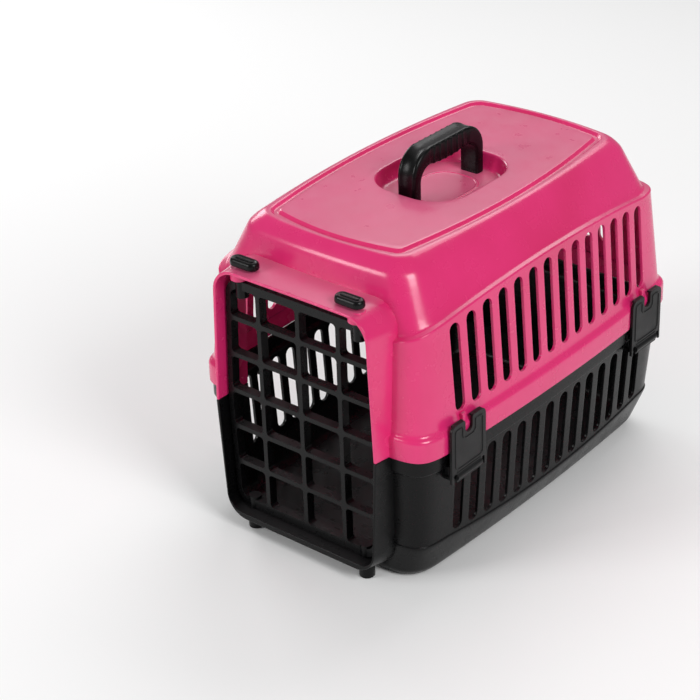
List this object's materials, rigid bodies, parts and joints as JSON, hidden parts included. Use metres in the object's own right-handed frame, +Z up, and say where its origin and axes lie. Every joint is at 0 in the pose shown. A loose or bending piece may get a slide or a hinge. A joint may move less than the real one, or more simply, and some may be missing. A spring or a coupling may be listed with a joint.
{
  "type": "pet carrier",
  "caption": "Hard plastic pet carrier with a slotted upper shell on a slotted tray, a barred front door on lift-out pins, swinging side clips and a fixed top handle.",
  "frame": {"origin": "centre of the bounding box, on the floor", "axes": "+Z up, -Y to the door, +X to the right side when facing the back"},
  "size_m": [0.3052, 0.4589, 0.374],
  "materials": {
    "pink_shell": "moulded polypropylene, glossy walls and a satin roof panel",
    "black_shell": "moulded polypropylene, satin gloss",
    "black_door": "moulded polypropylene, satin",
    "black_fittings": "moulded plastic, fine grain",
    "black_handle": "moulded plastic, fine grain"
  },
  "bodies": {
    "carrier": {"lower_tray": "black_shell", "upper_shell": "pink_shell", "handle": "black_handle"},
    "door": {"door_grille": "black_door"},
    "left_pin": {"left_door_pin": "black_fittings"},
    "right_pin": {"right_door_pin": "black_fittings"},
    "clip_fr": {"front_right_clip": "black_fittings"},
    "clip_rr": {"rear_right_clip": "black_fittings"},
    "clip_fl": {"front_left_clip": "black_fittings"},
    "clip_rl": {"rear_left_clip": "black_fittings"}
  },
  "joints": [
    {"name": "door_swing", "type": "hinge", "parent": "carrier", "child": "door", "pos_m": [-0.073, -0.2125, 0.15], "axis": [0, 0, -1], "range_deg": [0, 115]},
    {"name": "left_pin_lift", "type": "slide", "parent": "carrier", "child": "left_pin", "axis": [0, 0, 1], "range_m": [0, 0.018]},
    {"name": "right_pin_lift", "type": "slide", "parent": "carrier", "child": "right_pin", "axis": [0, 0, 1], "range_m": [0, 0.018]},
    {"name": "front_right_clip_swing", "type": "hinge", "parent": "carrier", "child": "clip_fr", "pos_m": [0.149, -0.1475, 0.119], "axis": [0, 1, 0], "range_deg": [0, 100]},
    {"name": "rear_right_clip_swing", "type": "hinge", "parent": "carrier", "child": "clip_rr", "pos_m": [0.149, 0.1645, 0.119], "axis": [0, 1, 0], "range_deg": [0, 100]},
    {"name": "front_left_clip_swing", "type": "hinge", "parent": "carrier", "child": "clip_fl", "pos_m": [-0.149, -0.1475, 0.119], "axis": [0, -1, 0], "range_deg": [0, 100]},
    {"name": "rear_left_clip_swing", "type": "hinge", "parent": "carrier", "child": "clip_rl", "pos_m": [-0.149, 0.1645, 0.119], "axis": [0, -1, 0], "range_deg": [0, 100]}
  ]
}
